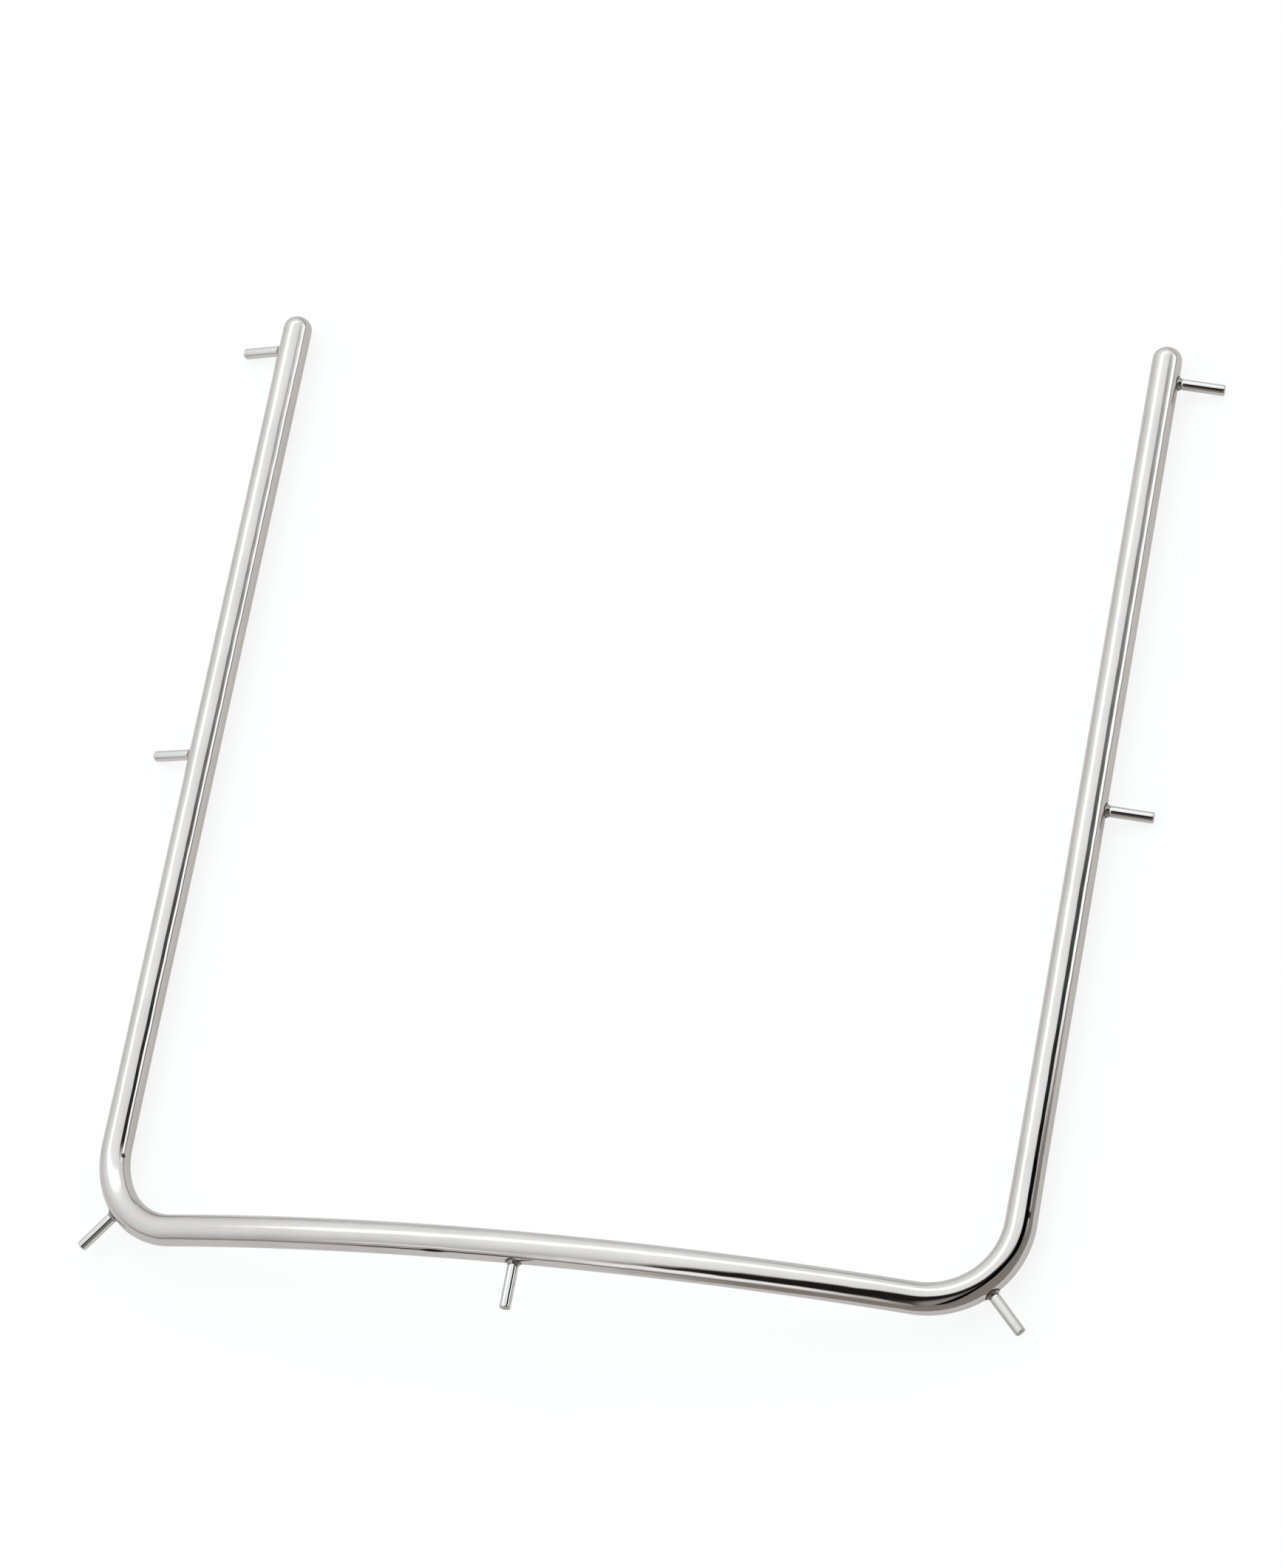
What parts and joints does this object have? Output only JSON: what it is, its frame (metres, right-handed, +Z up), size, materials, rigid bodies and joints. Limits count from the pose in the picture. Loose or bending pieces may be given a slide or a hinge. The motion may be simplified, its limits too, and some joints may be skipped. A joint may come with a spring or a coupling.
{
  "type": "dental dam frame",
  "caption": "U-shaped polished steel rod frame, bowed to follow the face, with short pegs around its outside that hold the edge of a stretched dental dam sheet.",
  "frame": {"origin": "under the middle of the frame's box, on the surface that it lies on with the crown of its bow upward", "axes": "+X across the frame, to the side called right; +Y from the bar along the arms to their tips; +Z up, out of the crown of the bow"},
  "size_m": [0.124, 0.1246, 0.0124],
  "materials": {
    "rod": "stainless steel rod, bright polished along its length",
    "pegs": "stainless steel wire, bright drawn, with cut and bevelled ends",
    "braze": "silver brazing alloy, lightly polished"
  },
  "bodies": {
    "root": {"frame_rod": "rod", "peg_bottom_centre": "pegs", "peg_left_top": "pegs", "peg_left_middle": "pegs", "peg_left_corner": "pegs", "peg_right_top": "pegs", "peg_right_middle": "pegs", "peg_right_corner": "pegs", "braze_bottom_centre": "braze", "braze_left_top": "braze", "braze_left_middle": "braze", "braze_left_corner": "braze", "braze_right_top": "braze", "braze_right_middle": "braze", "braze_right_corner": "braze"}
  },
  "joints": []
}
